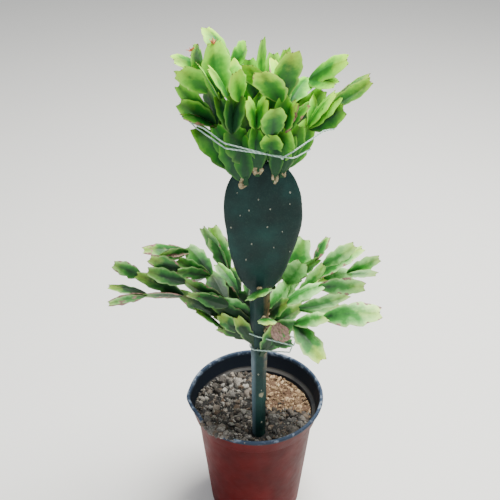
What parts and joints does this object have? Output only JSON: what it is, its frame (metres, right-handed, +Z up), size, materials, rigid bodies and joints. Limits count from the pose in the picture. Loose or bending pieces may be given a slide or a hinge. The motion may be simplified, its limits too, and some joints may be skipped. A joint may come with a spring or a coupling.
{
  "type": "potted christmas cactus",
  "caption": "Christmas cactus grafted in two tiers on an upright flat-padded rootstock, tied with thin string, standing in soil in a tapered two-colour plastic nursery pot.",
  "frame": {"origin": "middle of the pot's flat base, on the surface it stands on", "axes": "+Z up along the pot's axis, -Y towards the side the rootstock's flat pad faces"},
  "size_m": [0.3011, 0.177, 0.6248],
  "materials": {
    "pot_plastic": "satin",
    "soil_grit": "rough",
    "rootstock_skin": "waxy",
    "upper_segment": "waxy",
    "lower_segment": "waxy",
    "tie_string": "matte"
  },
  "bodies": {
    "root": {"lower_scion_1": "lower_segment", "lower_scion_10": "lower_segment", "lower_scion_11": "lower_segment", "lower_scion_12": "lower_segment", "lower_scion_13": "lower_segment", "lower_scion_14": "lower_segment", "lower_scion_15": "lower_segment", "lower_scion_16": "lower_segment", "lower_scion_17": "lower_segment", "lower_scion_2": "lower_segment", "lower_scion_3": "lower_segment", "lower_scion_4": "lower_segment", "lower_scion_5": "lower_segment", "lower_scion_6": "lower_segment", "lower_scion_7": "lower_segment", "lower_scion_8": "lower_segment", "lower_scion_9": "lower_segment", "lower_tie_1": "tie_string", "lower_tie_2": "tie_string", "pot": "pot_plastic", "rootstock": "rootstock_skin", "soil": "soil_grit", "upper_scion_1": "upper_segment", "upper_scion_2": "upper_segment", "upper_scion_3": "upper_segment", "upper_scion_4": "upper_segment", "upper_scion_5": "upper_segment", "upper_scion_6": "upper_segment", "upper_scion_7": "upper_segment", "upper_scion_8": "upper_segment", "upper_scion_9": "upper_segment", "upper_tie_1": "tie_string", "upper_tie_2": "tie_string"}
  },
  "joints": []
}
